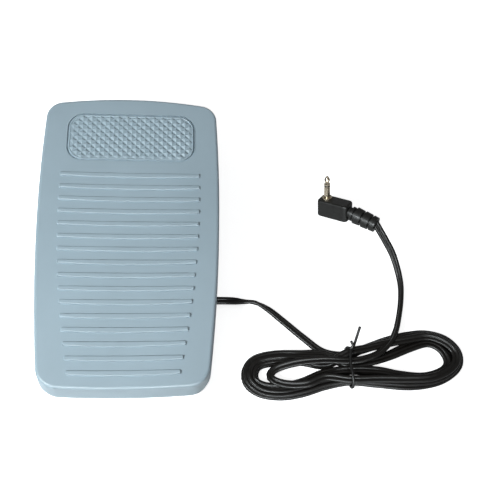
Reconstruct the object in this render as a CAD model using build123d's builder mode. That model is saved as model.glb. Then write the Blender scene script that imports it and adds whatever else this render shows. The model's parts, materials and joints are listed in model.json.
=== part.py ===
from build123d import *
import os
from math import acos, cos, pi, radians, sin, tan

# Foot controller for a sewing machine: a ribbed cover hinged at the heel of a base tray,
# return springs, a toothed sector that turns a potentiometer, and a tied-up two-core lead
# that ends in a right-angle 3.5 mm plug.
# Frame: X to the right, Y from heel to toe, Z up, origin on the floor under the cover's middle.

# ---------------------------------------------------------------- driving dimensions (mm, deg)
draft = 3.0                 # outward lean of the skirt
half_width = 49.65          # outline of the cover where its walls would meet the floor
widest_y = 36.0
side_radius = 873.0         # each edge of the outline is a shallow arc
toe_y = 84.3
toe_radius = 264.0
heel_y = -81.3
heel_radius = 503.0
corner_r = 11.5

wedge = 8.0                 # slope of the cover's top
mid_height = 28.3           # height of the top face above the origin
skirt_slope = 4.8           # slope of the cover's lower edge
skirt_mid = 13.2
cover_wall = 2.2
cover_roof = 3.0
edge_round = 1.6

hinge_y = -70.0
hinge_z = 9.5
press_angle = 5.5           # full travel of the pedal

foot_height = 2.0           # the tray's underside stands this far above the floor
floor_thick = 2.4
floor_z = foot_height + floor_thick
flange_top = 5.2
flange_inset = 1.0
tray_gap = 1.7              # between the cover's skirt and the tray's wall
tray_wall = 2.0
lead_y = -28.0              # where the lead leaves the right-hand side

running_gap = 0.05          # radial clearance of turning fits


# ---------------------------------------------------------------- shared geometry
cover_top = Plane(
    origin=(0, 0, mid_height),
    x_dir=(1, 0, 0),
    z_dir=(0, -sin(radians(wedge)), cos(radians(wedge))),
)
roof_under = cover_top.offset(-cover_roof)
skirt_edge = Plane(
    origin=(0, 0, skirt_mid),
    x_dir=(1, 0, 0),
    z_dir=(0, -sin(radians(skirt_slope)), cos(radians(skirt_slope))),
)


def under_roof(y):
    """Height of the roof's underside at a given distance from the origin."""
    return mid_height + y * tan(radians(wedge)) - cover_roof / cos(radians(wedge))


def pressed_height(y, z):
    """Height of a point of the cover when the pedal is fully down."""
    turn = radians(press_angle)
    return hinge_z - (y - hinge_y) * sin(turn) + (z - hinge_z) * cos(turn)


def crossing(centre_a, radius_a, centre_b, radius_b):
    """The crossing of two circles that lies furthest to the right."""
    across = (centre_b[0] - centre_a[0], centre_b[1] - centre_a[1])
    span = (across[0] ** 2 + across[1] ** 2) ** 0.5
    along = (span**2 + radius_a**2 - radius_b**2) / (2 * span)
    aside = (radius_a**2 - along**2) ** 0.5
    foot = [centre_a[k] + along * across[k] / span for k in (0, 1)]
    shift = (-aside * across[1] / span, aside * across[0] / span)
    return max((foot[0] + s * shift[0], foot[1] + s * shift[1]) for s in (-1, 1))


def plan(inset, level):
    """Cover outline seen from above, moved inwards, as it stands at one height of the draft."""
    shrink = inset + level * tan(radians(draft))
    side = ((half_width - side_radius, widest_y), side_radius - shrink)
    toe = crossing(*side, (0, toe_y - toe_radius), toe_radius - shrink)
    heel = crossing(*side, (0, heel_y + heel_radius), heel_radius - shrink)
    with BuildSketch(Plane.XY.offset(level)) as outline:
        with BuildLine():
            ThreePointArc((-heel[0], heel[1]), (0, heel_y + shrink), heel)
            ThreePointArc(heel, (half_width - shrink, widest_y), toe)
            ThreePointArc(toe, (0, toe_y - shrink), (-toe[0], toe[1]))
            ThreePointArc((-toe[0], toe[1]), (shrink - half_width, widest_y), (-heel[0], heel[1]))
        make_face()
        fillet(outline.vertices(), corner_r - shrink)
    return outline.sketch


def save(piece, name):
    """Label a finished piece and write it as one STEP file."""
    piece.label = name
    export_step(piece, f"parts/{name}.step")


# ---------------------------------------------------------------- pedal cover
ridge_count = 16
ridge_pitch = 7.165
ridge_first = 35.2          # far edge of the first ridge, along the cover's top from the origin
ridge_half = 37.4
ridge_end_width = 2.2
ridge_mid_width = 2.8
ridge_bow = 0.3
ridge_height = 1.0
ridge_round = 0.6
ridge_corner_r = 0.7
ridge_root = 0.5            # the bars start this far inside the roof
ridge_taper_radius = 510.0  # the ridges' ends follow a wide arc towards the heel

panel_middle = 57.6         # grip panel, along the cover's top from the origin
panel_half_length = 14.8
panel_half_width = 35.0
panel_corner_r = 9.0
panel_recess = 1.6
panel_gap = 0.15

spring_x = 28.0
spring_y = 48.0
spring_seat_z = under_roof(spring_y) - 1.5
spring_seat_r = 8.0
spring_pin_r = 4.0
spring_spots = [(-spring_x, spring_y), (spring_x, spring_y)]
stop_x = 13.0
stop_y = 60.0
stop_z = 22.0
stop_boss_r = 3.5
stop_spots = [(-stop_x, stop_y), (stop_x, stop_y)]
hook_x = 27.0
hook_y = 69.0
hook_z = 18.3
hook_thick = 2.0
hook_reach = 3.2            # the foot of a hook reaches this far past its stem
hook_foot = 1.4
hook_wide = 8.0
lug_width = 5.0
cover_lug_r = 4.0
base_lug_r = 4.6
cover_lug_x = 24.0
base_lug_x = 29.6
axle_r = 2.0
sector_screw_x = 6.0
sector_screw_y = -38.0
sector_screws_at = [(-sector_screw_x, sector_screw_y), (sector_screw_x, sector_screw_y)]
sector_flange = roof_under.offset(-1.6)   # underside of the bosses that carry the sector
boss_r = 3.0                # of every screw boss but the clamp's
screw_r = 1.2
screw_head_r = 2.3
screw_head_high = 1.5
screw_slot_long = 2.6
screw_slot_wide = 0.6
screw_slot_deep = 0.7
arch_wide = 9.0             # arch in the skirt over the lead
arch_high = 7.4
arch_z = 9.0
arch_r = 3.0


def ridge_bar(number):
    """One raised bar: nearly straight on its toe side, bowed and widest at mid-length."""
    towards_heel = max(0, number - 1) * ridge_pitch
    half = ridge_half - towards_heel**2 / (2 * ridge_taper_radius)
    far = ridge_first - number * ridge_pitch
    end = far + ridge_bow
    near_end = end - ridge_end_width
    with BuildPart() as bar:
        with BuildSketch(cover_top.offset(-ridge_root)) as bar_outline:
            with BuildLine():
                ThreePointArc((-half, end), (0, far), (half, end))
                Line((half, end), (half, near_end))
                ThreePointArc((half, near_end), (0, far - ridge_mid_width), (-half, near_end))
                Line((-half, near_end), (-half, end))
            make_face()
            fillet(bar_outline.vertices(), ridge_corner_r)
        extrude(amount=ridge_height + ridge_root)
        crown = bar.faces().filter_by(cover_top).sort_by(Axis.Z)[-1]
        fillet(crown.edges(), ridge_round)
    return bar.part


def panel_outline(gap, depth):
    """Rounded grip panel, drawn at a depth below the cover's top."""
    half_w = panel_half_width - gap
    half_l = panel_half_length - gap
    with BuildSketch(cover_top.offset(-depth)) as outline:
        with Locations((0, panel_middle)):
            RectangleRounded(2 * half_w, 2 * half_l, panel_corner_r - gap)
    return outline.sketch


with BuildPart() as cover_hollow:
    extrude(plan(cover_wall, 0), amount=60, taper=draft)
    split(bisect_by=roof_under, keep=Keep.BOTTOM)

with BuildPart() as cover_inside:
    # hinge lugs
    with BuildSketch(Plane.YZ) as cover_lug:
        with Locations((hinge_y, hinge_z)):
            Circle(cover_lug_r)
        with Locations((hinge_y, hinge_z + 10)):
            Rectangle(2 * cover_lug_r, 20)
    for side in (-1, 1):
        lug_plane = Plane.YZ.offset(side * cover_lug_x)
        with BuildSketch(lug_plane):
            add(cover_lug.sketch.faces())
        extrude(amount=lug_width / 2, both=True)
    # flat seats and pins for the springs
    with BuildSketch(Plane.XY.offset(spring_seat_z)):
        with Locations(spring_spots):
            Circle(spring_seat_r)
    extrude(amount=12)
    with BuildSketch(Plane.XY.offset(spring_seat_z)):
        with Locations(spring_spots):
            Circle(spring_pin_r)
    extrude(amount=-4, taper=4)
    # bosses that meet the rubber stops
    with BuildSketch(Plane.XY.offset(stop_z)):
        with Locations(stop_spots):
            Circle(stop_boss_r)
    extrude(amount=20)
    # hooks that hold the cover down against its springs
    for side in (-1, 1):
        with BuildSketch(Plane.YZ.offset(side * hook_x)):
            with BuildLine():
                Polyline(
                    (hook_y, 45),
                    (hook_y, hook_z),
                    (hook_y + hook_thick + hook_reach - 1, hook_z),
                    (hook_y + hook_thick + hook_reach, hook_z + hook_foot),
                    (hook_y + hook_thick, hook_z + hook_foot),
                    (hook_y + hook_thick, 45),
                    close=True,
                )
            make_face()
        extrude(amount=hook_wide / 2, both=True)
    # bosses for the sector's screws
    with BuildSketch(sector_flange):
        with Locations(sector_screws_at):
            Circle(boss_r)
    extrude(amount=5)
    split(bisect_by=cover_top.offset(-1.2), keep=Keep.BOTTOM)
    with BuildSketch(Plane.YZ):
        with Locations((hinge_y, hinge_z)):
            Circle(axle_r + running_gap)
    extrude(amount=50, both=True, mode=Mode.SUBTRACT)

ridge_bars = [ridge_bar(number) for number in range(ridge_count)]

with BuildPart() as pedal_cover:
    extrude(plan(0, 0), amount=60, taper=draft)
    split(bisect_by=cover_top, keep=Keep.BOTTOM)
    rim = pedal_cover.faces().sort_by(Axis.Z)[-1]
    fillet(rim.edges(), edge_round)
    add(cover_hollow.part, mode=Mode.SUBTRACT)
    split(bisect_by=skirt_edge, keep=Keep.TOP)
    add(cover_inside.part)
    add(ridge_bars)
    extrude(panel_outline(0, 0), amount=-panel_recess, mode=Mode.SUBTRACT)
    # arch over the lead
    with BuildSketch(Plane.YZ):
        with Locations((lead_y, arch_z)):
            RectangleRounded(arch_wide, arch_high, arch_r)
    extrude(amount=60, mode=Mode.SUBTRACT)
    # screw holes from below
    with BuildSketch(sector_flange):
        with Locations(sector_screws_at):
            Circle(screw_r)
    extrude(amount=3, mode=Mode.SUBTRACT)
save(pedal_cover.part, "pedal_cover")


# ---------------------------------------------------------------- grip panel
panel_stand = 0.4           # the panel's middle stands proud of the cover by this much
panel_groove = 0.8          # depth of the groove round the panel
panel_shoulder = 1.2        # width of that groove
panel_round = 0.4

with BuildPart() as grip_panel:
    extrude(panel_outline(panel_gap, panel_recess), amount=panel_recess - panel_groove)
    extrude(panel_outline(panel_gap + panel_shoulder, panel_groove), amount=panel_groove + panel_stand)
    crown = grip_panel.faces().filter_by(cover_top).sort_by(Axis.Z)[-1]
    fillet(crown.edges(), panel_round)
save(grip_panel.part, "grip_panel")

# ---------------------------------------------------------------- base tray
wall_top = Plane(origin=(0, 0, 16.75), x_dir=(1, 0, 0), z_dir=(0, -0.061, 0.998))
wall_inset = cover_wall + tray_gap
ledge_gap = 0.3             # between a hook's foot and the ledge over it
ledge_y = hook_y + 6.05
ledge_deep = 3.9
ledge_thick = 1.2
foot_spots = [(-34, -65), (34, -65), (-38, 63), (38, 63), (0, 0)]
foot_r = 6.0
foot_recess = 0.6
stop_peg_r = 1.5
stop_top = pressed_height(stop_y + stop_boss_r, stop_z) - 0.2
lead_z = 5.65
lead_wide = 4.4
lead_thick = 2.3
clamp_x = 36.0
clamp_screw_dy = 7.5
clamp_boss_r = 2.8
clamp_boss_z = lead_z + lead_thick / 2 + 0.1
clamp_thick = 1.8
clamp_screws_at = [(clamp_x, lead_y - clamp_screw_dy), (clamp_x, lead_y + clamp_screw_dy)]
notch_wide = lead_wide + 0.8   # slot for the lead in the tray's wall
notch_high = 18.0

module = 0.7
pinion_teeth = 12
sector_teeth = 132
pressure_angle = radians(25)
backlash = 0.1
pot_z = 12.0
pinion_r = module * pinion_teeth / 2
sector_r = module * sector_teeth / 2
centre_distance = pinion_r + sector_r + 0.05
pot_y = hinge_y + (centre_distance**2 - (pot_z - hinge_z) ** 2) ** 0.5
pot_body_r = 5.2
pot_face_x = 9.0            # the bracket side of the potentiometer's body
bracket_thick = 1.2
bracket_screws_at = [(21.5, pot_y - 4), (21.5, pot_y + 4)]

board_x = 26.0
board_y = 11.0
board_wide = 24.0
board_long = 30.0
board_z = 8.4
board_thick = 1.6
board_screws_at = [(board_x - 9, board_y - 12), (board_x + 9, board_y + 12)]
board_posts_at = [(board_x + 9, board_y - 12), (board_x - 9, board_y + 12)]
screw_depth = 1.6           # blind screw holes in the tray's floor
sector_room_wide = 7.0      # pocket in the floor under the sector
sector_room_long = 16.0
sector_room_deep = 1.2

with BuildPart() as base_tray:
    extrude(plan(flange_inset, foot_height), amount=flange_top - foot_height)
    chamfer(base_tray.faces().sort_by(Axis.Z)[-1].edges(), 2.0, 0.7)
    extrude(plan(wall_inset, foot_height), amount=25, taper=draft)
    split(bisect_by=wall_top, keep=Keep.BOTTOM)
    extrude(plan(wall_inset + tray_wall, floor_z), amount=25, taper=draft, mode=Mode.SUBTRACT)
    # lugs that carry the axle
    for side in (-1, 1):
        with BuildSketch(Plane.YZ.offset(side * base_lug_x)):
            with Locations((hinge_y, hinge_z)):
                Circle(base_lug_r)
            with Locations((hinge_y, (hinge_z + floor_z) / 2)):
                Rectangle(2 * base_lug_r, hinge_z - floor_z)
        extrude(amount=lug_width / 2, both=True)
    with BuildSketch(Plane.YZ):
        with Locations((hinge_y, hinge_z)):
            Circle(axle_r)
    extrude(amount=34.5, both=True, mode=Mode.SUBTRACT)
    # ledges over the cover's hooks
    with BuildSketch(Plane.XY.offset(hook_z + hook_foot + ledge_gap)):
        with Locations((-hook_x, ledge_y), (hook_x, ledge_y)):
            Rectangle(hook_wide + 4, ledge_deep)
    extrude(amount=ledge_thick)
    # posts and pegs on the floor
    with BuildSketch(Plane.XY.offset(floor_z)):
        with Locations(spring_spots):
            Circle(spring_pin_r)
    extrude(amount=3, taper=4)
    with BuildSketch(Plane.XY.offset(floor_z)):
        with Locations(stop_spots):
            Circle(stop_peg_r)
    extrude(amount=2)
    with BuildSketch(Plane.XY.offset(floor_z)):
        with Locations(board_screws_at + board_posts_at):
            Circle(boss_r)
    extrude(amount=board_z - floor_z)
    with BuildSketch(Plane.XY.offset(floor_z)):
        with Locations(clamp_screws_at):
            Circle(clamp_boss_r)
    extrude(amount=clamp_boss_z - floor_z)
    # screw holes
    with BuildSketch(Plane.XY.offset(floor_z - screw_depth)):
        with Locations(bracket_screws_at + board_screws_at + clamp_screws_at):
            Circle(screw_r)
    extrude(amount=10, mode=Mode.SUBTRACT)
    # room for the sector under the hinge line
    with BuildSketch(Plane.XY.offset(floor_z)):
        with Locations((0, pot_y - pinion_r - 3)):
            Rectangle(sector_room_wide, sector_room_long)
    extrude(amount=-sector_room_deep, mode=Mode.SUBTRACT)
    # notch for the lead
    with BuildSketch(Plane.YZ):
        with Locations((lead_y, lead_z + notch_high / 2)):
            Rectangle(notch_wide, notch_high + lead_thick + 0.1)
    extrude(amount=60, mode=Mode.SUBTRACT)
    # recesses for the feet
    with BuildSketch(Plane.XY.offset(foot_height)):
        with Locations(foot_spots):
            Circle(foot_r + 0.1)
    extrude(amount=foot_recess, mode=Mode.SUBTRACT)
save(base_tray.part, "base_tray")

# ---------------------------------------------------------------- feet and stops
with BuildPart() as rubber_feet:
    with BuildSketch():
        with Locations(foot_spots):
            Circle(foot_r)
    extrude(amount=foot_height + foot_recess)
    fillet(rubber_feet.faces().sort_by(Axis.Z)[: len(foot_spots)].edges(), 0.6)
save(rubber_feet.part, "rubber_feet")

bumper_r = 4.0
bumper_collar = 2.0         # the lower part, bored for the tray's peg
with BuildPart() as stop_bumpers:
    with BuildSketch(Plane.XY.offset(floor_z)):
        with Locations(stop_spots):
            Circle(bumper_r)
            Circle(stop_peg_r, mode=Mode.SUBTRACT)
    extrude(amount=bumper_collar)
    with BuildSketch(Plane.XY.offset(floor_z + bumper_collar)):
        with Locations(stop_spots):
            Circle(bumper_r)
    extrude(amount=stop_top - floor_z - bumper_collar)
    fillet(stop_bumpers.faces().sort_by(Axis.Z)[-2:].edges(), 0.7)
save(stop_bumpers.part, "stop_bumpers")

# ---------------------------------------------------------------- hinge axle and its clips
axle_half = 34.2
clip_x = base_lug_x + lug_width / 2 + 0.2
clip_thick = 0.8
clip_r = 3.6
groove_r = 1.6
with BuildPart() as hinge_axle:
    with Locations((0, hinge_y, hinge_z)):
        Cylinder(axle_r, 2 * axle_half, rotation=(0, 90, 0))
    chamfer(hinge_axle.edges().filter_by(GeomType.CIRCLE), 0.3)
    for side in (-1, 1):
        with BuildSketch(Plane.YZ.offset(side * (clip_x + clip_thick / 2))):
            with Locations((hinge_y, hinge_z)):
                Circle(axle_r + 1)
                Circle(groove_r, mode=Mode.SUBTRACT)
        extrude(amount=clip_thick / 2 + 0.05, both=True, mode=Mode.SUBTRACT)
save(hinge_axle.part, "hinge_axle")

with BuildPart() as axle_clips:
    for side in (-1, 1):
        with BuildSketch(Plane.YZ.offset(side * (clip_x + clip_thick / 2))):
            with Locations((hinge_y, hinge_z)):
                Circle(clip_r)
                Circle(groove_r, mode=Mode.SUBTRACT)
            with Locations((hinge_y, hinge_z + 2.5)):
                Rectangle(1.8, 5, mode=Mode.SUBTRACT)
        extrude(amount=clip_thick / 2, both=True)
save(axle_clips.part, "axle_clips")

# ---------------------------------------------------------------- return springs
spring_r = 5.4
wire_r = 0.6
spring_turns = 6
spring_bottom = floor_z + 0.1
spring_rise = spring_seat_z - spring_bottom - 2 * wire_r - 0.1
with BuildPart() as return_springs:
    for side in (-1, 1):
        foot_of_spring = (side * spring_x, spring_y, spring_bottom + wire_r)
        with BuildLine() as coil:
            Helix(spring_rise / spring_turns, spring_rise, spring_r, center=foot_of_spring)
        with BuildSketch(Plane(origin=coil.wire() @ 0, z_dir=coil.wire() % 0)):
            Circle(wire_r)
        sweep(path=coil.wire(), is_frenet=True)
save(return_springs.part, "return_springs")


# ---------------------------------------------------------------- toothed sector and pinion
mesh_angle = acos((pot_y - hinge_y) / centre_distance)   # rise of the line from hinge to pinion
tooth_step = 2 * pi / sector_teeth
gear_half_width = 2.0
sector_flange_thick = 2.0


def involute(angle):
    return tan(angle) - angle


def tooth(pitch_r, teeth, middle):
    """Corner points of one involute tooth about the origin, from one root to the other."""
    base_r = pitch_r * cos(pressure_angle)
    root_r = pitch_r - 1.2 * module
    tip_r = pitch_r + 0.9 * module
    half_angle = pi / (2 * teeth) - backlash / (2 * pitch_r) + involute(pressure_angle)
    low = max(base_r, root_r)
    flank = []
    for step in range(5):
        radius = low + (tip_r - low) * step / 4
        flank.append((radius, half_angle - involute(acos(base_r / radius))))
    flank.insert(0, (root_r, flank[0][1] + 0.002))
    rising = [(radius, middle - half) for radius, half in flank]
    falling = [(radius, middle + half) for radius, half in reversed(flank)]
    return [(radius * cos(angle), radius * sin(angle)) for radius, angle in rising + falling]


sector_points = []
for number in range(-1, 4):
    sector_points += tooth(sector_r, sector_teeth, mesh_angle + number * tooth_step)
sector_points = [(hinge_y + y, hinge_z + z) for y, z in sector_points]
sector_web = [(-31.0, 18.4), (-43.0, 16.8), (-35.0, 9.0)]
with BuildPart() as sector_gear:
    with BuildSketch(Plane.YZ):
        with BuildLine():
            Polyline(*sector_points, *sector_web, close=True)
        make_face()
    extrude(amount=gear_half_width, both=True)
    with BuildSketch(sector_flange):
        with Locations((0, sector_screw_y)):
            RectangleRounded(4 * sector_screw_x - 5, 13, 2)
        with Locations(sector_screws_at):
            Circle(screw_r, mode=Mode.SUBTRACT)
    extrude(amount=-sector_flange_thick)
save(sector_gear.part, "sector_gear")

with BuildPart() as sector_screws:
    with BuildSketch(sector_flange.offset(-sector_flange_thick)):
        with Locations(sector_screws_at):
            Circle(screw_head_r)
    extrude(amount=-screw_head_high)
    with BuildSketch(sector_flange.offset(-sector_flange_thick)):
        with Locations(sector_screws_at):
            Circle(screw_r)
    extrude(amount=sector_flange_thick + 2.8)
    with BuildSketch(sector_flange.offset(-sector_flange_thick - screw_head_high)):
        with Locations(sector_screws_at):
            Rectangle(screw_slot_long, screw_slot_wide)
            Rectangle(screw_slot_wide, screw_slot_long)
    extrude(amount=screw_slot_deep, mode=Mode.SUBTRACT)
save(sector_screws.part, "sector_screws")

pot_shaft_r = 1.5
pinion_points = []
for number in range(pinion_teeth):
    middle = mesh_angle + pi + (number + 0.5) * 2 * pi / pinion_teeth
    pinion_points += tooth(pinion_r, pinion_teeth, middle)
pinion_points = [(pot_y + y, pot_z + z) for y, z in pinion_points]
with BuildPart() as pot_pinion:
    with BuildSketch(Plane.YZ):
        with BuildLine():
            Polyline(*pinion_points, close=True)
        make_face()
        with Locations((pot_y, pot_z)):
            Circle(pot_shaft_r, mode=Mode.SUBTRACT)
    extrude(amount=gear_half_width + 0.8, both=True)
save(pot_pinion.part, "pot_pinion")

# ---------------------------------------------------------------- potentiometer
bushing_r = 3.0
bushing_x = 4.4             # free end of the threaded bushing
terminal_x = pot_face_x + 3.6
terminal_block_y = pot_y + 4.4
terminal_rise = 2.5         # between one terminal and the next
pot_length = 7.0
wiper_x = pot_face_x + 2.2
pot_axis = Plane(origin=(0, pot_y, pot_z), x_dir=(0, 1, 0), z_dir=(1, 0, 0))


def disc(radius, start_x, end_x, hole=0.0):
    """A round piece on the potentiometer's axis between two distances along it."""
    with BuildPart() as piece:
        with BuildSketch(pot_axis.offset(start_x)):
            Circle(radius)
            if hole:
                Circle(hole, mode=Mode.SUBTRACT)
        extrude(amount=end_x - start_x)
    return piece.part


with BuildPart() as potentiometer_body:
    add(disc(pot_body_r, pot_face_x, pot_face_x + pot_length))
    with BuildSketch(Plane.XY.offset(pot_z - 3.6)):
        with Locations((terminal_x, terminal_block_y)):
            Rectangle(3.2, 4.4)
    extrude(amount=7.2)
    add(disc(bushing_r, bushing_x, pot_face_x))
    add(disc(4.2, pot_face_x + 1.2, pot_face_x + 5.6), mode=Mode.SUBTRACT)
    add(disc(pot_shaft_r + running_gap, bushing_x, pot_face_x + 2), mode=Mode.SUBTRACT)
save(potentiometer_body.part, "potentiometer_body")

with BuildPart() as potentiometer_shaft:
    add(disc(pot_shaft_r, -gear_half_width - 1.4, pot_face_x + 4.6))
    chamfer(potentiometer_shaft.edges().filter_by(GeomType.CIRCLE).sort_by(Axis.X)[0], 0.3)
save(potentiometer_shaft.part, "potentiometer_shaft")

with BuildPart() as pot_wiper:
    add(disc(3.6, wiper_x, wiper_x + 1, hole=pot_shaft_r))
save(pot_wiper.part, "pot_wiper")

with BuildPart() as pot_terminals:
    for height in (-terminal_rise, 0, terminal_rise):
        with BuildSketch(Plane.XY.offset(pot_z + height - 0.6)):
            with Locations((terminal_x, pot_y + 8.6)):
                Rectangle(0.5, 4)
        extrude(amount=1.2)
save(pot_terminals.part, "pot_terminals")

with BuildPart() as pot_washer:
    add(disc(4.0, pot_face_x - bracket_thick - 0.5, pot_face_x - bracket_thick, hole=bushing_r))
save(pot_washer.part, "pot_washer")

with BuildPart() as pot_nut:
    with BuildSketch(pot_axis.offset(pot_face_x - bracket_thick - 0.5)):
        RegularPolygon(4.0, 6, major_radius=False)
        Circle(bushing_r, mode=Mode.SUBTRACT)
    extrude(amount=-2)
    chamfer(pot_nut.faces().sort_by(Axis.X)[0].outer_wire().edges(), 0.3)
save(pot_nut.part, "pot_nut")

bracket_foot_long = 17.2
bracket_foot_wide = 14.0
with BuildPart() as pot_bracket:
    with BuildSketch(Plane.XY.offset(floor_z)):
        with Locations((pot_face_x - bracket_thick + bracket_foot_long / 2, pot_y)):
            RectangleRounded(bracket_foot_long, bracket_foot_wide, 1.5)
        with Locations(bracket_screws_at):
            Circle(screw_r, mode=Mode.SUBTRACT)
    extrude(amount=bracket_thick)
    with BuildSketch(pot_axis.offset(pot_face_x)):
        Circle(pot_body_r)
        with Locations((0, -(pot_z - floor_z) / 2)):
            Rectangle(2 * pot_body_r, pot_z - floor_z)
        Circle(bushing_r, mode=Mode.SUBTRACT)
    extrude(amount=-bracket_thick)
save(pot_bracket.part, "pot_bracket")


# ---------------------------------------------------------------- screws down into the tray
def pan_screws(spots, seat_z):
    """Cross-slotted pan-head screws standing in the tray's blind holes."""
    with BuildPart() as group:
        with BuildSketch(Plane.XY.offset(floor_z - screw_depth)):
            with Locations(spots):
                Circle(screw_r)
        extrude(amount=seat_z - floor_z + screw_depth)
        with BuildSketch(Plane.XY.offset(seat_z)):
            with Locations(spots):
                Circle(screw_head_r)
        extrude(amount=screw_head_high)
        fillet(group.faces().sort_by(Axis.Z)[-len(spots):].edges(), 0.5)
        with BuildSketch(Plane.XY.offset(seat_z + screw_head_high)):
            with Locations(spots):
                Rectangle(screw_slot_long, screw_slot_wide)
                Rectangle(screw_slot_wide, screw_slot_long)
        extrude(amount=-screw_slot_deep, mode=Mode.SUBTRACT)
    return group.part


bracket_screws = pan_screws(bracket_screws_at, floor_z + bracket_thick)
save(bracket_screws, "bracket_screws")
board_screws = pan_screws(board_screws_at, board_z + board_thick)
save(board_screws, "board_screws")

# ---------------------------------------------------------------- circuit board
resistor_at = (board_x + 5, board_y + 2)
capacitor_at = (board_x - 4, board_y + 6)
board_top = board_z + board_thick
resistor_rise = 1.8
resistor_span = 12.0        # between the two ends of its lead
with BuildPart() as circuit_board:
    with BuildSketch(Plane.XY.offset(board_z)):
        with Locations((board_x, board_y)):
            Rectangle(board_wide, board_long)
        with Locations(board_screws_at):
            Circle(screw_r, mode=Mode.SUBTRACT)
    extrude(amount=board_thick)
save(circuit_board.part, "circuit_board")

with BuildPart() as board_resistor:
    with BuildLine() as resistor_lead:
        Polyline(
            (resistor_at[0], resistor_at[1] - resistor_span / 2, board_top),
            (resistor_at[0], resistor_at[1] - resistor_span / 2, board_top + resistor_rise),
            (resistor_at[0], resistor_at[1] + resistor_span / 2, board_top + resistor_rise),
            (resistor_at[0], resistor_at[1] + resistor_span / 2, board_top),
        )
    with BuildSketch(Plane(origin=resistor_lead.wire() @ 0, z_dir=(0, 0, 1))):
        Circle(0.3)
    sweep(path=resistor_lead.wire(), transition=Transition.RIGHT)
    with Locations((resistor_at[0], resistor_at[1], board_top + resistor_rise)):
        Cylinder(1.3, 6.4, rotation=(90, 0, 0))
save(board_resistor.part, "board_resistor")

with BuildPart() as board_capacitor:
    with Locations((capacitor_at[0], capacitor_at[1], board_top + 4)):
        Cylinder(3, 2.4, rotation=(90, 0, 0))
    fillet(board_capacitor.edges().filter_by(GeomType.CIRCLE), 0.9)
    for side in (-1.5, 1.5):
        with Locations((capacitor_at[0] + side, capacitor_at[1], board_top + 1.5)):
            Cylinder(0.3, 3)
save(board_capacitor.part, "board_capacitor")

# ---------------------------------------------------------------- lead clamp
with BuildPart() as cable_clamp:
    with BuildSketch(Plane.XY.offset(clamp_boss_z)):
        with Locations((clamp_x, lead_y)):
            RectangleRounded(6, 2 * clamp_screw_dy + 6, 2.5)
        with Locations(clamp_screws_at):
            Circle(screw_r, mode=Mode.SUBTRACT)
    extrude(amount=clamp_thick)
save(cable_clamp.part, "cable_clamp")
clamp_screws = pan_screws(clamp_screws_at, clamp_boss_z + clamp_thick)
save(clamp_screws, "clamp_screws")


# ---------------------------------------------------------------- wires inside the tray
core_r = 0.5
cable_inner_end = 31.0
pad_y = board_y - 13
wire_crest = board_top + 3


def core(start, leaving, pad_x):
    """One insulated wire that rises from its start and drops onto a pad of the board."""
    end = Vector(pad_x, pad_y, board_top)
    start = Vector(*start)
    crest = Vector(pad_x, (start.Y + pad_y) / 2 - 1, wire_crest)
    with BuildPart() as wire:
        with BuildLine() as run:
            Spline(start, crest, end, tangents=(leaving, (0, 0, -1)), tangent_scalars=(1, 0.5))
        with BuildSketch(Plane(origin=start, z_dir=leaving)):
            Circle(core_r)
        sweep(path=run.wire())
    return wire.part


terminal_tip = (terminal_x, pot_y + 10.6)
wires = [
    core((*terminal_tip, pot_z - terminal_rise), (0, 1, 0), board_x - 6),
    core((*terminal_tip, pot_z + terminal_rise), (0, 1, 0), board_x - 3),
    core((cable_inner_end, lead_y - 1.1, lead_z), (-1, 0, 0), board_x + 1),
    core((cable_inner_end, lead_y + 1.1, lead_z), (-1, 0, 0), board_x + 4.5),
]
with BuildPart() as lead_wires:
    add(wires)
save(lead_wires.part, "lead_wires")

# ---------------------------------------------------------------- plug on the lead's end
plug_plane = Plane(
    origin=(112.4, 35.3, 12.0),
    x_dir=(0.781, -0.507, 0.365),
    z_dir=(-0.114, 0.459, 0.881),
)
head_back = -4.6
head_front = 15.0
head_wide = 9.4
head_deep = 10.7
collar_r = 3.1
collar_thick = 1.0
jack_r = 1.75               # a 3.5 mm plug
sleeve_end = 8.0
insulator_end = 8.7
tip_end = 14.5
spigot_r = 2.2
spigot_deep = 3.0
tube_r = 1.2
rod_r = 0.8
relief_droop = 12.0
relief_start = 1.0          # the strain relief starts this far inside the head
relief_core_r = 3.3
relief_ribs = [(2.2, 3.6, 4.3), (4.8, 8.8, 5.0), (10.2, 14.0, 4.9), (15.3, 18.0, 4.6)]
relief_origin = plug_plane.from_local_coords(
    Vector(head_front - relief_start, 0, -head_deep / 2)
)
relief_plane = Plane(
    origin=relief_origin,
    x_dir=plug_plane.y_dir,
    z_dir=plug_plane.x_dir.rotate(Axis((0, 0, 0), plug_plane.y_dir), relief_droop),
)
relief_end = relief_ribs[-1][1]


def round_stack(steps):
    """Coaxial rings on the plug's axis: each is (start, end, radius, hole radius)."""
    with BuildPart() as stack:
        for start, end, radius, hole in steps:
            with BuildSketch(plug_plane.offset(start)):
                Circle(radius)
                if hole:
                    Circle(hole, mode=Mode.SUBTRACT)
            extrude(amount=end - start)
    return stack.part


with BuildPart() as plug_body:
    with BuildSketch(plug_plane.offset(-head_deep)):
        with Locations(((head_back + head_front) / 2, 0)):
            RectangleRounded(head_front - head_back, head_wide, 2.4)
    extrude(amount=head_deep)
    ends = plug_body.faces().filter_by(plug_plane)
    fillet(ends.edges(), 1.3)
    with BuildSketch(relief_plane):
        Circle(relief_core_r)
    extrude(amount=relief_end - 0.5)
    for start, end, radius in relief_ribs:
        with BuildSketch(relief_plane.offset(start)):
            Circle(radius)
        extrude(amount=end - start, taper=4)
    add(round_stack([(-spigot_deep, 0, spigot_r, 0)]), mode=Mode.SUBTRACT)
save(plug_body.part, "plug_body")

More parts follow.
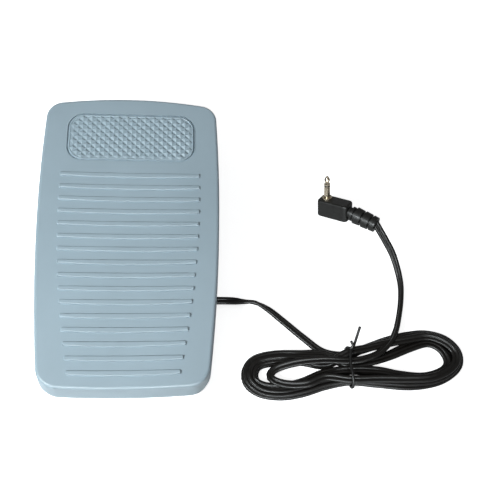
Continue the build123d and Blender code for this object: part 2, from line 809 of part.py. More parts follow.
plug_sleeve = round_stack(
    [
        (-spigot_deep, 0, spigot_r, tube_r),
        (0, collar_thick, collar_r, tube_r),
        (collar_thick, sleeve_end, jack_r, tube_r),
    ]
)
save(plug_sleeve, "plug_sleeve")
plug_insulator = round_stack(
    [(-spigot_deep, sleeve_end, tube_r, rod_r), (sleeve_end, insulator_end, jack_r, rod_r)]
)
save(plug_insulator, "plug_insulator")

with BuildPart() as plug_tip:
    with BuildSketch(Plane(plug_plane.origin, x_dir=plug_plane.x_dir, z_dir=-plug_plane.y_dir)):
        with BuildLine():
            Polyline(
                (0, -spigot_deep),
                (rod_r, -spigot_deep),
                (rod_r, insulator_end),
                (jack_r, insulator_end),
                (jack_r, insulator_end + 0.9),
                (1.15, insulator_end + 1.4),
                (1.15, insulator_end + 2.4),
                (1.65, insulator_end + 3.2),
            )
            ThreePointArc(
                (1.65, insulator_end + 3.2),
                (1.15, insulator_end + 4.7),
                (0.45, tip_end - 0.15),
            )
            Polyline((0.45, tip_end - 0.15), (0, tip_end), (0, -spigot_deep))
        make_face()
    revolve(axis=Axis(plug_plane.origin, plug_plane.z_dir))
save(plug_tip.part, "plug_tip")

# ---------------------------------------------------------------- lead, tied up in a hank
lead_r = 1.6
flat_run_end = 54.0
hank_low = 0.3
hank_high = 7.6
hank_top_round = 2.2
hank_low_round = 1.2
waist_long = 3.2            # the hank is thinner over this length, where the tie holds it
tie_r = 0.75
tie_x = 115.0
tie_y = -66.1
tie_half_y = 10.2
tie_low = 0.8
tie_high = 8.4
lead_in = [
    (flat_run_end - 1, lead_y, lead_z),
    (60.0, lead_y + 0.8, 3.4),
    (68.0, lead_y + 1.0, 1.9),
    (82.0, -37.8, 1.9),
    (93.5, -48.5, 2.0),
    (104.0, -57.5, 4.0),
]
lead_out = [
    (128.0, -66.0, 4.4),
    (140.4, -52.7, 2.2),
    (147.1, -38.0, 1.9),
    (150.7, -24.1, 2.3),
    (150.7, -14.5, 4.5),
    (147.2, -1.2, 9.5),
]
hank_outline = [
    (116, -55.8),
    (132, -51.6),
    (149, -45.4),
    (164, -44.5),
    (177, -53),
    (179.5, -62),
    (168, -74.5),
    (150, -78),
    (133, -75.6),
    (115, -76),
    (90, -81.3),
    (72, -81),
    (59.5, -72),
    (62, -60.5),
    (76, -55.6),
    (94, -56.6),
]
left_opening = [(68, -68.5), (78, -64.3), (95, -67.6), (80, -71.8)]
right_opening = [(135, -64.8), (149, -60), (161, -58.8), (165, -64.5), (150, -67)]
plug_end = relief_plane.from_local_coords(Vector(0, 0, relief_end))

with BuildPart() as cable:
    with BuildSketch(Plane.XY.offset(hank_low)):
        for points, mode in (
            (hank_outline, Mode.ADD),
            (left_opening, Mode.SUBTRACT),
            (right_opening, Mode.SUBTRACT),
        ):
            with BuildLine():
                Spline(*points, periodic=True)
            make_face(mode=mode)
    extrude(amount=hank_high - hank_low)
    fillet(cable.edges().group_by(Axis.Z)[-1], hank_top_round)
    fillet(cable.edges().group_by(Axis.Z)[0], hank_low_round)
    # the waist, squeezed by the tie
    with BuildSketch(Plane.YZ.offset(tie_x - waist_long / 2)):
        with Locations((tie_y, (tie_low + tie_high) / 2)):
            Rectangle(40, 20)
            RectangleRounded(2 * tie_half_y - 1.8, tie_high - tie_low - 1.8, 2, mode=Mode.SUBTRACT)
    extrude(amount=waist_long, mode=Mode.SUBTRACT)
    with BuildLine() as lead_in_run:
        Spline(*lead_in, tangents=((1, 0, -0.1), (0.8, -0.6, 0)))
    with BuildSketch(Plane(origin=lead_in_run.wire() @ 0, z_dir=lead_in_run.wire() % 0)):
        Circle(lead_r)
    sweep(path=lead_in_run.wire())
    with BuildLine() as lead_out_run:
        Spline(*lead_out, plug_end, tangents=((0.6, 0.8, 0), -relief_plane.z_dir))
    with BuildSketch(Plane(origin=lead_out_run.wire() @ 0, z_dir=lead_out_run.wire() % 0)):
        Circle(lead_r)
    sweep(path=lead_out_run.wire())
    with BuildSketch(Plane.YZ.offset(cable_inner_end)):
        with Locations((lead_y, lead_z)):
            SlotOverall(lead_wide, lead_thick)
    extrude(amount=flat_run_end - cable_inner_end)
save(cable.part, "cable")

with BuildPart() as twist_tie:
    with BuildSketch(Plane.YZ.offset(tie_x)):
        with Locations((tie_y, (tie_low + tie_high) / 2)):
            RectangleRounded(2 * (tie_half_y + tie_r), tie_high - tie_low + 2 * tie_r, 3.5)
            RectangleRounded(
                2 * (tie_half_y - tie_r), tie_high - tie_low - 2 * tie_r, 2, mode=Mode.SUBTRACT
            )
    extrude(amount=tie_r, both=True)
    fillet(twist_tie.edges().filter_by(Plane.YZ), 0.6)
    knot = (tie_x + 0.4, tie_y + tie_half_y - 1.5, tie_high + 0.5)
    for end in ((121.3, -47.0, 14.0), (115.6, -53.6, 12.0)):
        with BuildLine() as tail:
            Line(knot, end)
        with BuildSketch(Plane(origin=knot, z_dir=tail.wire() % 0)):
            Circle(tie_r)
        sweep(path=tail.wire())
save(twist_tie.part, "twist_tie")
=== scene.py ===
import json
from math import cos, hypot, pi, radians, sin

import bpy
import numpy as np
from mathutils import Matrix, Vector


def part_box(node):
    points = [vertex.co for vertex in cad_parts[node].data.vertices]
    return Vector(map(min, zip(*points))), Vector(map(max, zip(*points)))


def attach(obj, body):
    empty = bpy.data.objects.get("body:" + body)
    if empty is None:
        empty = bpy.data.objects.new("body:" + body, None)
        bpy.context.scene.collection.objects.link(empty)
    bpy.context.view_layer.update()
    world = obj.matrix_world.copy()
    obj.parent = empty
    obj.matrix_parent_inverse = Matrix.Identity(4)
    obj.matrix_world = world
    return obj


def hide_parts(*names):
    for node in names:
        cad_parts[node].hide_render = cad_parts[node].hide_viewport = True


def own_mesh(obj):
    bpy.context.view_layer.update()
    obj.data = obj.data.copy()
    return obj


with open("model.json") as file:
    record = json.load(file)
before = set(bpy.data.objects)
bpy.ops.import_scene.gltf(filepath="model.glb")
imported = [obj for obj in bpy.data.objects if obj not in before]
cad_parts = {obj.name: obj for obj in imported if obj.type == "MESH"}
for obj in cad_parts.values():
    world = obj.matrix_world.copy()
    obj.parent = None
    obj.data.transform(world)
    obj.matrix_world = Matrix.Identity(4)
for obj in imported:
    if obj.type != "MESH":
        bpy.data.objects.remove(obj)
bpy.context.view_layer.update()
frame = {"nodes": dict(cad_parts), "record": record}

# Looks of a sewing-machine foot control. Metres, in the CAD frame: X right, Y to the toe, Z up.
MM = 0.001


# ------------------------------------------------------------------ node helpers
class Nodes:
    """A short way to write a procedural material."""

    def __init__(self, name):
        self.material = bpy.data.materials.new(name)
        self.material.use_nodes = True
        self.tree = self.material.node_tree
        self.tree.nodes.clear()
        self.output = self.add("ShaderNodeOutputMaterial")
        self.shader = self.add("ShaderNodeBsdfPrincipled")
        self.link(self.shader.outputs[0], self.output.inputs["Surface"])
        self.place = self.add("ShaderNodeTexCoord").outputs["Object"]

    def add(self, kind, **settings):
        node = self.tree.nodes.new(kind)
        for key, value in settings.items():
            setattr(node, key, value)
        return node

    def link(self, source, target):
        self.tree.links.new(source, target)

    def set(self, **values):
        for key, value in values.items():
            self.shader.inputs[key.replace("_", " ")].default_value = value

    def noise(self, scale, detail=3.0, roughness=0.5, stretch=None):
        """Noise whose scale is in features per metre, optionally stretched along an axis."""
        node = self.add("ShaderNodeTexNoise")
        node.inputs["Scale"].default_value = scale
        node.inputs["Detail"].default_value = detail
        node.inputs["Roughness"].default_value = roughness
        source = self.place
        if stretch:
            mapping = self.add("ShaderNodeMapping")
            mapping.inputs["Scale"].default_value = stretch
            self.link(self.place, mapping.inputs["Vector"])
            source = mapping.outputs["Vector"]
        self.link(source, node.inputs["Vector"])
        return node.outputs["Fac"]

    def band(self, source, low, high, out_low=0.0, out_high=1.0):
        """Remap a value from one range to another, clamped."""
        node = self.add("ShaderNodeMapRange")
        node.inputs["From Min"].default_value = low
        node.inputs["From Max"].default_value = high
        node.inputs["To Min"].default_value = out_low
        node.inputs["To Max"].default_value = out_high
        self.link(source, node.inputs["Value"])
        return node.outputs["Result"]

    def math(self, operation, a, b):
        node = self.add("ShaderNodeMath", operation=operation)
        for slot, value in zip(node.inputs, (a, b)):
            if isinstance(value, (int, float)):
                slot.default_value = value
            else:
                self.link(value, slot)
        return node.outputs[0]

    def mix(self, factor, a, b):
        """Mix two colours; each colour is a tuple or a socket."""
        node = self.add("ShaderNodeMix", data_type="RGBA")
        sockets = [s for s in node.inputs if s.type == "RGBA"]
        for slot, value in zip(sockets, (a, b)):
            if isinstance(value, tuple):
                slot.default_value = (*value, 1.0)
            else:
                self.link(value, slot)
        self.link(factor, node.inputs["Factor"])
        return [s for s in node.outputs if s.type == "RGBA"][0]

    def edges(self, reach=0.0004):
        """1 near convex and concave edges, 0 on flats."""
        bevel = self.add("ShaderNodeBevel", samples=4)
        bevel.inputs["Radius"].default_value = reach
        geometry = self.add("ShaderNodeNewGeometry")
        dot = self.add("ShaderNodeVectorMath", operation="DOT_PRODUCT")
        self.link(bevel.outputs["Normal"], dot.inputs[0])
        self.link(geometry.outputs["Normal"], dot.inputs[1])
        return self.band(dot.outputs["Value"], 1.0, 0.9)

    def bump(self, height, strength, distance):
        node = self.add("ShaderNodeBump")
        node.inputs["Strength"].default_value = strength
        node.inputs["Distance"].default_value = distance
        self.link(height, node.inputs["Height"])
        self.link(node.outputs["Normal"], self.shader.inputs["Normal"])

    def color(self, socket):
        self.link(socket, self.shader.inputs["Base Color"])

    def roughness(self, socket):
        self.link(socket, self.shader.inputs["Roughness"])


def shade(color, factor):
    return tuple(channel * factor for channel in color)


# ------------------------------------------------------------------ materials
def moulded_plastic(name, color, rough=0.34, grain=1.0, wear=0.35, sheen=0.5):
    """Satin injection-moulded plastic: fine grain, faint mottling, rubbed edges."""
    m = Nodes(name)
    cloud = m.noise(22.0, 4.0, 0.6)
    speckle = m.noise(900.0, 2.0, 0.5)
    flow = m.noise(9.0, 3.0, 0.5, stretch=(1.0, 0.25, 1.0))
    base = m.mix(m.band(cloud, 0.35, 0.65), shade(color, 0.965), shade(color, 1.03))
    base = m.mix(m.band(flow, 0.4, 0.7, 0.0, 0.35), base, shade(color, 1.05))
    base = m.mix(m.band(speckle, 0.62, 0.75, 0.0, 0.12), base, shade(color, 0.8))
    rubbed = m.math("MULTIPLY", m.edges(), m.band(m.noise(120.0), 0.35, 0.7, 0.2, 1.0))
    rubbed = m.math("MULTIPLY", rubbed, wear)
    m.color(m.mix(rubbed, base, shade(color, 1.25)))
    dull = m.band(m.noise(60.0, 4.0), 0.3, 0.7, rough - 0.05, rough + 0.06)
    m.roughness(m.math("SUBTRACT", dull, m.math("MULTIPLY", rubbed, 0.15)))
    m.set(IOR=1.5, Specular_IOR_Level=sheen)
    m.bump(m.noise(1600.0, 2.0, 0.6), 0.25 * grain, 0.00004)
    return m.material


def rubber(name, color=(0.02, 0.02, 0.02)):
    m = Nodes(name)
    dust = m.band(m.noise(80.0, 5.0, 0.7), 0.5, 0.8, 0.0, 0.5)
    m.color(m.mix(dust, color, (0.09, 0.085, 0.08)))
    m.roughness(m.band(m.noise(300.0), 0.3, 0.7, 0.65, 0.85))
    m.bump(m.noise(2500.0, 3.0, 0.7), 0.4, 0.00005)
    return m.material


def metal(name, color, rough=0.28, brushed=(1.0, 1.0, 1.0), tarnish=0.25):
    """Plated or drawn metal with directional scratches and faint tarnish."""
    m = Nodes(name)
    stain = m.band(m.noise(260.0, 4.0, 0.6), 0.45, 0.75, 0.0, tarnish)
    m.color(m.mix(stain, color, shade(color, 0.45)))
    scratches = m.noise(1800.0, 3.0, 0.7, stretch=brushed)
    m.roughness(m.band(scratches, 0.3, 0.7, rough - 0.08, rough + 0.1))
    m.set(Metallic=1.0)
    m.bump(scratches, 0.15, 0.00003)
    return m.material


def pvc(name, color, rough=0.3, streak=0.5):
    """Extruded flexible PVC: soft gloss with drawn-out streaks and dust."""
    m = Nodes(name)
    haze = m.band(m.noise(150.0, 4.0, 0.6), 0.45, 0.8, 0.0, 0.35)
    m.color(m.mix(haze, color, shade(color, 2.0)))
    m.roughness(m.band(m.noise(500.0, 3.0), 0.3, 0.7, rough - 0.06, rough + 0.1))
    m.set(IOR=1.5, Specular_IOR_Level=streak)
    m.bump(m.noise(500.0, 2.0), 0.03, 0.00005)
    return m.material


def phenolic(name):
    """Brown paper-phenolic board with a woven look."""
    m = Nodes(name)
    weave = m.noise(700.0, 2.0, 0.5, stretch=(1.0, 6.0, 1.0))
    m.color(m.mix(m.band(weave, 0.3, 0.7), (0.30, 0.17, 0.07), (0.42, 0.26, 0.12)))
    m.roughness(m.band(m.noise(90.0), 0.3, 0.7, 0.35, 0.5))
    m.bump(weave, 0.2, 0.00003)
    return m.material


COVER_GREY = (0.36, 0.455, 0.515)
TRAY_GREY = (0.42, 0.51, 0.56)
materials = {
    "cover_plastic": moulded_plastic("cover_plastic", COVER_GREY),
    "panel_plastic": moulded_plastic("panel_plastic", COVER_GREY, rough=0.3),
    "tray_plastic": moulded_plastic("tray_plastic", TRAY_GREY, rough=0.5),
    "black_rubber": rubber("black_rubber"),
    "steel": metal("steel", (0.60, 0.61, 0.62), 0.3, (1.0, 8.0, 8.0)),
    "spring_steel": metal("spring_steel", (0.55, 0.56, 0.58), 0.25),
    "nylon": moulded_plastic("nylon", (0.78, 0.76, 0.70), rough=0.45),
    "pot_black": moulded_plastic("pot_black", (0.03, 0.03, 0.035), rough=0.45),
    "plug_nickel": metal("plug_nickel", (0.72, 0.62, 0.48), 0.2, (1.0, 1.0, 5.0), 0.4),
    "brass": metal("brass", (0.72, 0.60, 0.34), 0.3),
    "board": phenolic("board"),
    "resistor_paint": pvc("resistor_paint", (0.55, 0.42, 0.24), 0.25),
    "capacitor_paint": pvc("capacitor_paint", (0.60, 0.26, 0.05), 0.2),
    "core_insulation": pvc("core_insulation", (0.45, 0.03, 0.02), 0.3),
    "lead_pvc": pvc("lead_pvc", (0.008, 0.007, 0.006), 0.34, 0.35),
    "plug_pvc": pvc("plug_pvc", (0.011, 0.0105, 0.0095), 0.4, 0.4),
    "tie_plastic": pvc("tie_plastic", (0.009, 0.0085, 0.008), 0.38),
}


def dress_cad_nodes():
    """Give every carried-over CAD node the material of its slot."""
    for entry in frame["record"]["subparts"]:
        node = frame["nodes"][entry["node"]]
        node.data.materials.clear()
        node.data.materials.append(materials[entry["material_slot"]])


dress_cad_nodes()


# ------------------------------------------------------------------ mesh helpers
def new_piece(name, points, faces, slot, body, replaced, smooth=True):
    """A finished piece: its mesh, its material slot, its body and the CAD node it stands for."""
    mesh = bpy.data.meshes.new(name)
    mesh.from_pydata([tuple(point) for point in points], [], faces)
    mesh.validate()
    mesh.materials.append(materials[slot])
    if smooth:
        mesh.shade_smooth()
    else:
        mesh.shade_flat()
    piece = bpy.data.objects.new(name, mesh)
    bpy.context.scene.collection.objects.link(piece)
    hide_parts(replaced)
    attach(piece, body)
    return piece


def smooth_path(knots, step):
    """Points every step along a Catmull-Rom curve through the knots; extra columns come along."""
    knots = np.array(knots, float)
    before = 2 * knots[0] - knots[1]
    after = 2 * knots[-1] - knots[-2]
    padded = np.vstack((before, knots, after))
    points = []
    for a, b, c, d in zip(padded, padded[1:], padded[2:], padded[3:]):
        count = max(2, int(np.linalg.norm((c - b)[:3]) / step))
        for t in np.linspace(0, 1, count, endpoint=False):
            points.append(
                0.5 * (2 * b + (c - a) * t + (2 * a - 5 * b + 4 * c - d) * t**2
                       + (3 * b - a - 3 * c + d) * t**3)
            )
    points.append(knots[-1])
    return np.array(points)


def sweep(path, section, rolls=None):
    """Points and faces of a closed-ended tube: section is in (across, up), roll turns it."""
    points, faces = [], []
    count = len(section)
    for i, centre in enumerate(path):
        along = path[min(i + 1, len(path) - 1)] - path[max(i - 1, 0)]
        along = Vector(along).normalized()
        across = along.cross(Vector((0, 0, 1))).normalized()
        up = across.cross(along)
        roll = radians(rolls[i]) if rolls is not None else 0.0
        turned_across = across * cos(roll) + up * sin(roll)
        turned_up = up * cos(roll) - across * sin(roll)
        for a, u in section:
            points.append(Vector(centre) + turned_across * a + turned_up * u)
    for i in range(len(path) - 1):
        for k in range(count):
            here, there = i * count, (i + 1) * count
            following = (k + 1) % count
            faces.append((here + k, here + following, there + following, there + k))
    faces.append(tuple(range(count - 1, -1, -1)))
    last = (len(path) - 1) * count
    faces.append(tuple(last + k for k in range(count)))
    return points, faces


def ring(radius, count):
    angles = [2 * pi * k / count for k in range(count)]
    return [(radius * cos(angle), radius * sin(angle)) for angle in angles]


# ------------------------------------------------------------------ two-core lead
LOBE_R = 1.1 * MM
LOBE_OFF = 1.08 * MM
NOTCH_HALF = 0.4 * MM
TURNS = 5
LAYER_LOW = 2.7
LAYER_STEP = 2.15
LOWEST = 1.3                # no strand's middle comes nearer to the floor
SETTLE = 1.1                # the layers sink this much away from the tie
WOBBLE = 0.25               # small wander of each strand
ROLL = 22                   # largest twist of a strand, degrees
LEAD_STEP = 1.5             # between two cross-sections along the lead

# one turn of the hank, clockwise from the waist: outer x, y, inner x, y (mm), share of the spread
TURN = [
    (115, -58.6, 115, -64.6, 0.0),
    (126, -54.6, 126, -64.2, 0.35),
    (138, -50.0, 138, -61.4, 0.7),
    (150, -46.8, 150, -57.0, 1.0),
    (161, -46.2, 159, -54.2, 1.0),
    (171, -49.4, 165, -56.4, 1.0),
    (177, -56.0, 168, -61.0, 1.0),
    (176.6, -63.5, 167.4, -65.6, 1.0),
    (170.8, -69.6, 162, -69.0, 1.0),
    (161, -74.2, 153, -70.4, 1.0),
    (147, -75.8, 141, -68.8, 0.8),
    (130, -74.4, 130, -67.2, 0.4),
    (115, -73.3, 115, -67.2, 0.0),
    (102, -75.2, 102, -68.2, -0.4),
    (90, -78.6, 90, -72.8, -0.8),
    (78.5, -80.2, 80, -75.0, -1.0),
    (68, -78.6, 71, -74.6, -1.0),
    (62, -73.6, 66.2, -71.4, -1.0),
    (61.2, -66.6, 65.7, -67.0, -1.0),
    (65.5, -60.4, 69, -63.4, -1.0),
    (76, -57.6, 78, -61.8, -1.0),
    (90, -57.6, 90, -62.0, -0.8),
    (103, -58.1, 103, -64.2, -0.3),
]
WAIST_COLUMN = [0.0, 1.0, 0.05, 0.95, 0.0]
RIGHT_COLUMN = [0.0, 0.62, 0.2, 0.85, 0.42]
LEFT_COLUMN = [0.0, 1.0, 0.18, 0.8, 0.45]
LAYER = [0, 0, 1, 1, 2]
# the last turn's left end lies inside the others, as a small loop
INNER_LOOP = [
    (102, -72.0, 7.0, 5),
    (92, -75.4, 6.9, 8),
    (82, -75.2, 5.6, 10),
    (75.2, -72.6, 4.4, 5),
    (73.6, -69.2, 3.6, 0),
    (77.5, -65.8, 4.2, -5),
    (88, -63.6, 6.4, -8),
    (102, -62.8, 7.2, 0),
]
LEAD_IN = [
    (31, -28, 5.65, 0),
    (42, -28, 5.65, 0),
    (51, -28, 5.65, 0),
    (57, -27.4, 4.0, 10),
    (62, -27.0, 2.4, 50),
    (68, -27.6, 2.3, 70),
    (75, -31.6, 2.0, 35),
    (83, -38.8, 1.8, 20),
    (93, -48.2, 1.7, 15),
    (103, -56.4, 1.9, 10),
]
LEAD_OUT = [
    (115, -63.4, 7.2, 10),
    (123, -62.6, 7.6, 25),
    (131, -59.6, 8.0, 40),
    (137.5, -54.2, 7.2, 55),
    (142.6, -47.2, 4.6, 65),
    (146.6, -38.2, 2.3, 75),
    (149.9, -26.2, 2.3, 78),
    (150.7, -15.2, 4.2, 75),
    (147.6, -2.0, 9.0, 62),
    (142.8, 6.6, 13.2, 50),
    (138.1, 15.2, 15.9, 40),
    (137.0, 17.2, 16.4, 40),
]


def lead_section():
    """Two round cores side by side with a shallow notch between them."""
    right_lobe = [radians(angle) for angle in range(-135, 136, 27)]
    section = [(LOBE_OFF + LOBE_R * cos(a), LOBE_R * sin(a)) for a in right_lobe]
    section.append((0.0, NOTCH_HALF))
    section += [(-across, -up) for across, up in section]
    return section


def hank_knots():
    """The wound part of the lead: each turn keeps its column and layer of the bundle."""
    knots = []
    for turn in range(TURNS):
        level = LAYER_LOW + LAYER_STEP * LAYER[turn]
        last = turn == TURNS - 1
        for number, (ox, oy, ix, iy, spread) in enumerate(TURN):
            if last and spread < 0:
                continue
            end_column = RIGHT_COLUMN[turn] if spread > 0 else LEFT_COLUMN[turn]
            share = abs(spread)
            column = WAIST_COLUMN[turn] * (1 - share) + end_column * share
            settle = SETTLE * share
            wobble = WOBBLE * sin(1.7 * number + 2.3 * turn)
            roll = ROLL * sin(0.55 * number + 2.1 * turn) * (0.3 + 0.7 * share)
            knots.append(
                (
                    ox + (ix - ox) * column + wobble,
                    oy + (iy - oy) * column + 0.6 * wobble,
                    max(level - settle, LOWEST),
                    roll,
                )
            )
    return knots


def build_lead():
    """The whole lead as one swept strand: in from the pedal, five turns, out to the plug."""
    knots = LEAD_IN + hank_knots() + INNER_LOOP + LEAD_OUT
    points = smooth_path(knots, LEAD_STEP)
    points, faces = sweep(points[:, :3] * MM, lead_section(), points[:, 3])
    new_piece("lead", points, faces, "lead_pvc", "base", "cable")


# ------------------------------------------------------------------ twist tie
TIE_R = 0.72 * MM
TIE_STEP = 0.7
TIE_SIDES = 12
TIE_PATH = [
    (121.3, -47.0, 14.0),
    (119.6, -51.6, 11.4),
    (118.0, -55.6, 9.6),
    (116.2, -58.4, 9.4),
    (115.4, -62.0, 9.3),
    (115.2, -67.0, 9.2),
    (115.6, -72.0, 9.1),
    (115.9, -75.6, 7.6),
    (116.0, -76.6, 4.4),
    (115.8, -75.4, 1.5),
    (115.4, -71.0, 0.8),
    (115.0, -62.0, 0.8),
    (114.8, -57.2, 1.3),
    (114.7, -55.6, 4.4),
    (114.9, -56.2, 7.8),
    (116.0, -57.4, 9.8),
    (117.0, -56.4, 10.9),
    (116.0, -54.3, 12.0),
]


def build_tie():
    """The wire tie: one tail, a turn round the waist, and the other tail."""
    path = smooth_path([(*point, 0) for point in TIE_PATH], TIE_STEP)
    points, faces = sweep(path[:, :3] * MM, ring(TIE_R, TIE_SIDES))
    new_piece("tie", points, faces, "tie_plastic", "base", "twist_tie")


# ------------------------------------------------------------------ return springs
SPRING_TURNS = 6.0
SPRING_WIRE = 0.6 * MM
SPRING_SIDES = 10
SPRING_STEPS = 28           # cross-sections in one turn


def build_springs():
    """Two compression coils with closed ends, filling the CAD node's box; in the real pedal they
    shorten as it goes down.
    """
    low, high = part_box("return_springs")
    coil_r = (high[1] - low[1]) / 2 - SPRING_WIRE
    middle_y = (low[1] + high[1]) / 2
    centres = (low[0] + coil_r + SPRING_WIRE, high[0] - coil_r - SPRING_WIRE)
    points, faces = [], []
    samples = int(SPRING_TURNS + 2) * SPRING_STEPS
    for x in centres:
        path = []
        for k in range(samples + 1):
            turn = (SPRING_TURNS + 2) * k / samples
            rise = min(max(turn - 1, 0), SPRING_TURNS) / SPRING_TURNS
            span = high[2] - low[2] - 6 * SPRING_WIRE
            closed = min(turn, 1) + max(turn - SPRING_TURNS - 1, 0)
            height = low[2] + SPRING_WIRE * (1 + 2 * closed) + rise * span
            angle = 2 * pi * turn
            path.append((x + coil_r * cos(angle), middle_y + coil_r * sin(angle), height))
        coil_points, coil_faces = sweep(np.array(path), ring(SPRING_WIRE, SPRING_SIDES))
        start = len(points)
        points += coil_points
        faces += [tuple(start + index for index in face) for face in coil_faces]
    springs = new_piece("springs", points, faces, "spring_steel", "base", "return_springs")
    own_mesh(springs)


# ------------------------------------------------------------------ grip panel
WEDGE = radians(8.0)
TOP_HEIGHT = 28.3
PANEL_MIDDLE = 57.6
PANEL_HALF = (34.85, 14.65)
PANEL_CORNER = 8.85
# the panel's edge from underneath to the top: inset from the outline, height over the cover
PANEL_EDGE = [
    (0.0, -1.5),
    (0.0, -0.75),
    (0.75, -0.75),
    (0.85, -0.6),
    (0.9, 0.05),
    (1.1, 0.32),
    (1.35, 0.36),
    (1.55, 0.2),
    (1.65, 0.0),
]
STUD_PITCH = (4.88, 2.38)
STUD_SHARE = (0.92, 0.22)
STUD_HIGH = 0.7
STUD_ROOT = 0.05            # the studs start this far inside the plate
STUD_MARGIN = 2.0           # from a stud's middle to the panel's outline


def on_cover(across, along, height):
    """A point given on the cover's sloping top, in metres."""
    along_y = along * cos(WEDGE) - height * sin(WEDGE)
    along_z = TOP_HEIGHT + along * sin(WEDGE) + height * cos(WEDGE)
    return Vector((across, along_y, along_z)) * MM


def panel_ring(inset, height, per_corner=10):
    """The panel's rounded outline, moved inwards, at a height over the cover's top."""
    points = []
    radius = PANEL_CORNER - inset
    for quarter, (sx, sy) in enumerate(((1, 1), (-1, 1), (-1, -1), (1, -1))):
        middle_x = sx * (PANEL_HALF[0] - PANEL_CORNER)
        middle_y = PANEL_MIDDLE + sy * (PANEL_HALF[1] - PANEL_CORNER)
        for k in range(per_corner + 1):
            angle = (quarter + k / per_corner) * pi / 2
            across = middle_x + radius * cos(angle)
            along = middle_y + radius * sin(angle)
            points.append(on_cover(across, along, height))
    return points


def inside_panel(across, along, inset):
    """How far a spot lies inside the inset outline (negative outside)."""
    dx = max(abs(across) - (PANEL_HALF[0] - PANEL_CORNER), 0)
    dy = max(abs(along - PANEL_MIDDLE) - (PANEL_HALF[1] - PANEL_CORNER), 0)
    return PANEL_CORNER - inset - hypot(dx, dy)


def build_panel():
    """Grip panel: a rimmed plate covered with staggered diamond studs."""
    rings = [panel_ring(inset, height) for inset, height in PANEL_EDGE]
    count = len(rings[0])
    points = [point for loop in rings for point in loop]
    faces = []
    for i in range(len(rings) - 1):
        for k in range(count):
            following = (k + 1) % count
            lower, upper = i * count, (i + 1) * count
            faces.append((lower + k, lower + following, upper + following, upper + k))
    faces.append(tuple(range(count - 1, -1, -1)))
    faces.append(tuple((len(rings) - 1) * count + k for k in range(count)))
    field = PANEL_EDGE[-1][1]
    half_x, half_y = STUD_PITCH[0] / 2, STUD_PITCH[1]
    for row in range(-6, 7):
        for column in range(-8, 9):
            across = (column + 0.5 * (row % 2)) * STUD_PITCH[0]
            along = PANEL_MIDDLE + row * STUD_PITCH[1]
            if inside_panel(across, along, STUD_MARGIN) < 0:
                continue
            start = len(points)
            for share, height in zip(STUD_SHARE, (field - STUD_ROOT, field + STUD_HIGH)):
                for dx, dy in ((1, 0), (0, 1), (-1, 0), (0, -1)):
                    spot_x = across + dx * share * half_x
                    spot_y = along + dy * share * half_y
                    points.append(on_cover(spot_x, spot_y, height))
            for k in range(4):
                following = (k + 1) % 4
                faces.append((start + k, start + following, start + 4 + following, start + 4 + k))
            faces.append(tuple(start + 4 + k for k in range(4)))
    new_piece("panel", points, faces, "panel_plastic", "cover", "grip_panel", smooth=False)


build_lead()
build_tie()
build_springs()
build_panel()


# ------------------------------------------------------------------ stage
FLOOR_HALF = 3.0
SKY = 0.17
COOL = (0.92, 0.98, 1.0)
PAPER_GLOW = 0.85   # only the camera sees it: it keeps the paper white under the shadows


def build_stage():
    """Pale floor that runs to the horizon."""
    mesh = bpy.data.meshes.new("floor")
    far = FLOOR_HALF
    corners = [(-far, -far, 0), (far, -far, 0), (far, far, 0), (-far, far, 0)]
    mesh.from_pydata(corners, [], [(0, 1, 2, 3)])
    floor = bpy.data.objects.new("floor", mesh)
    bpy.context.scene.collection.objects.link(floor)
    m = Nodes("floor_paper")
    paper = m.mix(m.band(m.noise(3.0), 0.3, 0.7), (0.93, 0.93, 0.93), (0.96, 0.96, 0.96))
    m.color(paper)
    m.link(paper, m.shader.inputs["Emission Color"])
    seen = m.add("ShaderNodeLightPath").outputs["Is Camera Ray"]
    m.link(m.math("MULTIPLY", seen, PAPER_GLOW), m.shader.inputs["Emission Strength"])
    m.set(Roughness=0.9, Specular_IOR_Level=0.1)
    mesh.materials.append(m.material)


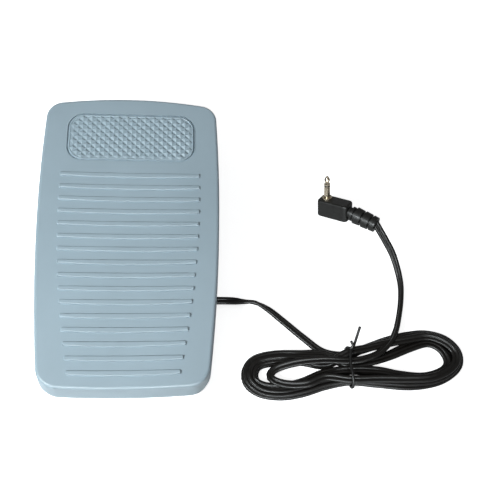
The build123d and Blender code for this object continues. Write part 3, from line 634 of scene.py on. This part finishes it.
def soft_light(name, place, aim, size, power, tint=(1.0, 1.0, 1.0), gloss_only=False):
    """An area light aimed at a point; a gloss_only one adds highlights and no fill."""
    data = bpy.data.lights.new(name, "AREA")
    data.shape = "RECTANGLE"
    data.size = size[0]
    data.size_y = size[1]
    data.energy = power
    data.color = tint
    light = bpy.data.objects.new(name, data)
    bpy.context.scene.collection.objects.link(light)
    light.visible_diffuse = not gloss_only
    light.location = place
    light.rotation_euler = (Vector(aim) - Vector(place)).to_track_quat("-Z", "Y").to_euler()


def build_lights():
    """A key from the heel's left, a low window for highlights, and a weak light from above."""
    world = bpy.data.worlds.new("studio")
    world.use_nodes = True
    background = world.node_tree.nodes["Background"]
    background.inputs["Color"].default_value = (1.0, 1.0, 1.0, 1.0)
    background.inputs["Strength"].default_value = SKY
    bpy.context.scene.world = world
    soft_light("key", (-0.3, -0.28, 0.4), (0.0, 0.0, 0.02), (0.08, 0.08), 3.0, COOL)
    soft_light("window", (0.0, -0.62, 0.34), (0.0, 0.0, 0.02), (0.6, 0.12), 7.0, COOL, gloss_only=True)
    soft_light("top", (0.05, -0.2, 1.25), (0.05, 0.0, 0.0), (0.7, 0.7), 1.1)


CAMERA_PLACE = (24.6, -191.4, 345.9)   # mm
CAMERA_FORWARD = (0.1056, 0.4945, -0.8628)
CAMERA_RIGHT = (0.9944, -0.0458, 0.0954)
CAMERA_LENS = 50.4
CAMERA_SENSOR = 36.0


def build_camera():
    """The camera stands in front of the heel, a little to the right, looking down."""
    data = bpy.data.cameras.new("camera")
    data.sensor_width = CAMERA_SENSOR
    data.lens = CAMERA_LENS
    camera = bpy.data.objects.new("camera", data)
    bpy.context.scene.collection.objects.link(camera)
    forward = Vector(CAMERA_FORWARD).normalized()
    right = Vector(CAMERA_RIGHT)
    right = (right - forward * right.dot(forward)).normalized()
    up = right.cross(forward)
    basis = Matrix((right, up, -forward)).transposed().to_4x4()
    camera.matrix_world = Matrix.Translation(Vector(CAMERA_PLACE) * MM) @ basis
    bpy.context.scene.camera = camera


build_stage()
build_lights()
build_camera()
bpy.context.scene.view_settings.view_transform = "Standard"
